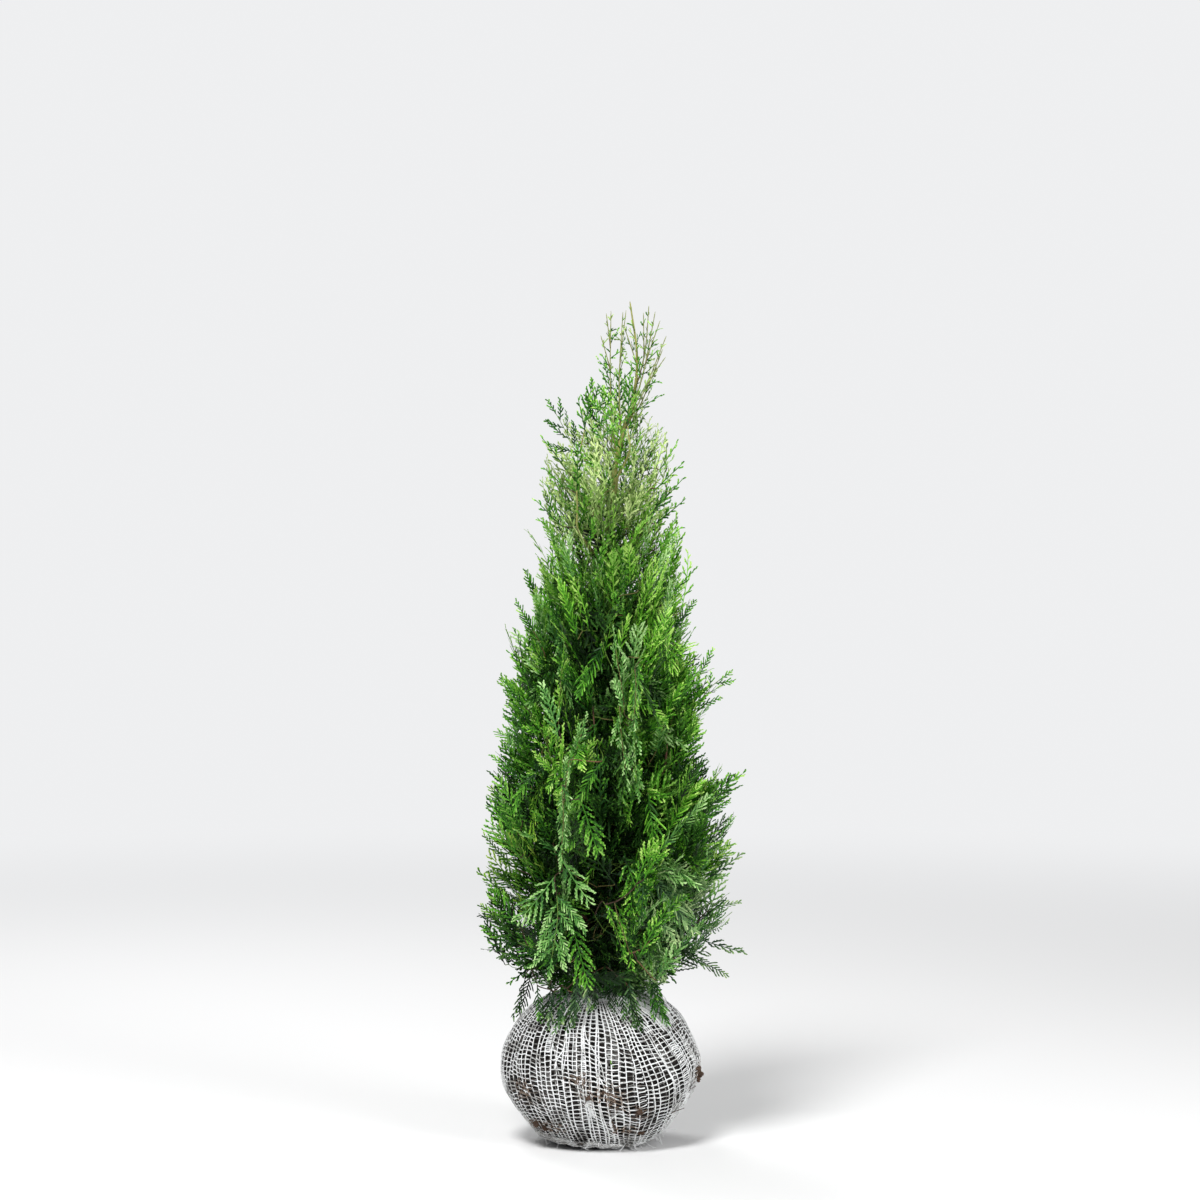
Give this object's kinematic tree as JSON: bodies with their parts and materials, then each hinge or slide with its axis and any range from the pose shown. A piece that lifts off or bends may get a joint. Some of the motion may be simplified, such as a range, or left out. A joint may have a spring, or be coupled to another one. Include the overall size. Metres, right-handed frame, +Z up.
{
  "type": "columnar conifer sapling with netted root ball",
  "caption": "Young narrow conifer with flat scale-leaf sprays, standing on a soil root ball wrapped in white open-weave netting.",
  "frame": {"origin": "middle of the flat underside of the root ball, where it stands", "axes": "+Z up along the trunk, -Y towards the side that the main view shows, +X to that view's right"},
  "size_m": [0.3443, 0.3376, 1.0691],
  "materials": {
    "soil": "dark moist soil, matt and crumbly",
    "net": "white knitted plastic netting",
    "bark": "thin fibrous brown bark",
    "shoot": "young green stems",
    "foliage": "flat sprays of scale leaves, bright at the tips"
  },
  "bodies": {
    "root": {"root_ball": "soil", "net_wrap": "net", "trunk": "bark", "bough_crest_1": "bark", "bough_crest_2": "bark", "bough_crest_3": "bark", "bough_lower_1": "bark", "bough_lower_2": "bark", "bough_lower_3": "bark", "bough_lower_4": "bark", "bough_lower_5": "bark", "bough_lower_6": "bark", "bough_middle_1": "bark", "bough_middle_2": "bark", "bough_middle_3": "bark", "bough_middle_4": "bark", "bough_middle_5": "bark", "bough_skirt_1": "bark", "bough_skirt_2": "bark", "bough_skirt_3": "bark", "bough_skirt_4": "bark", "bough_skirt_5": "bark", "bough_skirt_6": "bark", "bough_upper_1": "bark", "bough_upper_2": "bark", "bough_upper_3": "bark", "bough_upper_4": "bark", "foliage_crest_1": "foliage", "foliage_crest_2": "foliage", "foliage_crest_3": "foliage", "foliage_lower_1": "foliage", "foliage_lower_2": "foliage", "foliage_lower_3": "foliage", "foliage_lower_4": "foliage", "foliage_lower_5": "foliage", "foliage_lower_6": "foliage", "foliage_middle_1": "foliage", "foliage_middle_2": "foliage", "foliage_middle_3": "foliage", "foliage_middle_4": "foliage", "foliage_middle_5": "foliage", "foliage_skirt_1": "foliage", "foliage_skirt_2": "foliage", "foliage_skirt_3": "foliage", "foliage_skirt_4": "foliage", "foliage_skirt_5": "foliage", "foliage_skirt_6": "foliage", "foliage_upper_1": "foliage", "foliage_upper_2": "foliage", "foliage_upper_3": "foliage", "foliage_upper_4": "foliage", "shoot_1": "shoot", "shoot_2": "shoot", "shoot_3": "shoot", "shoot_4": "shoot", "shoot_5": "shoot", "shoot_6": "shoot"}
  },
  "joints": []
}
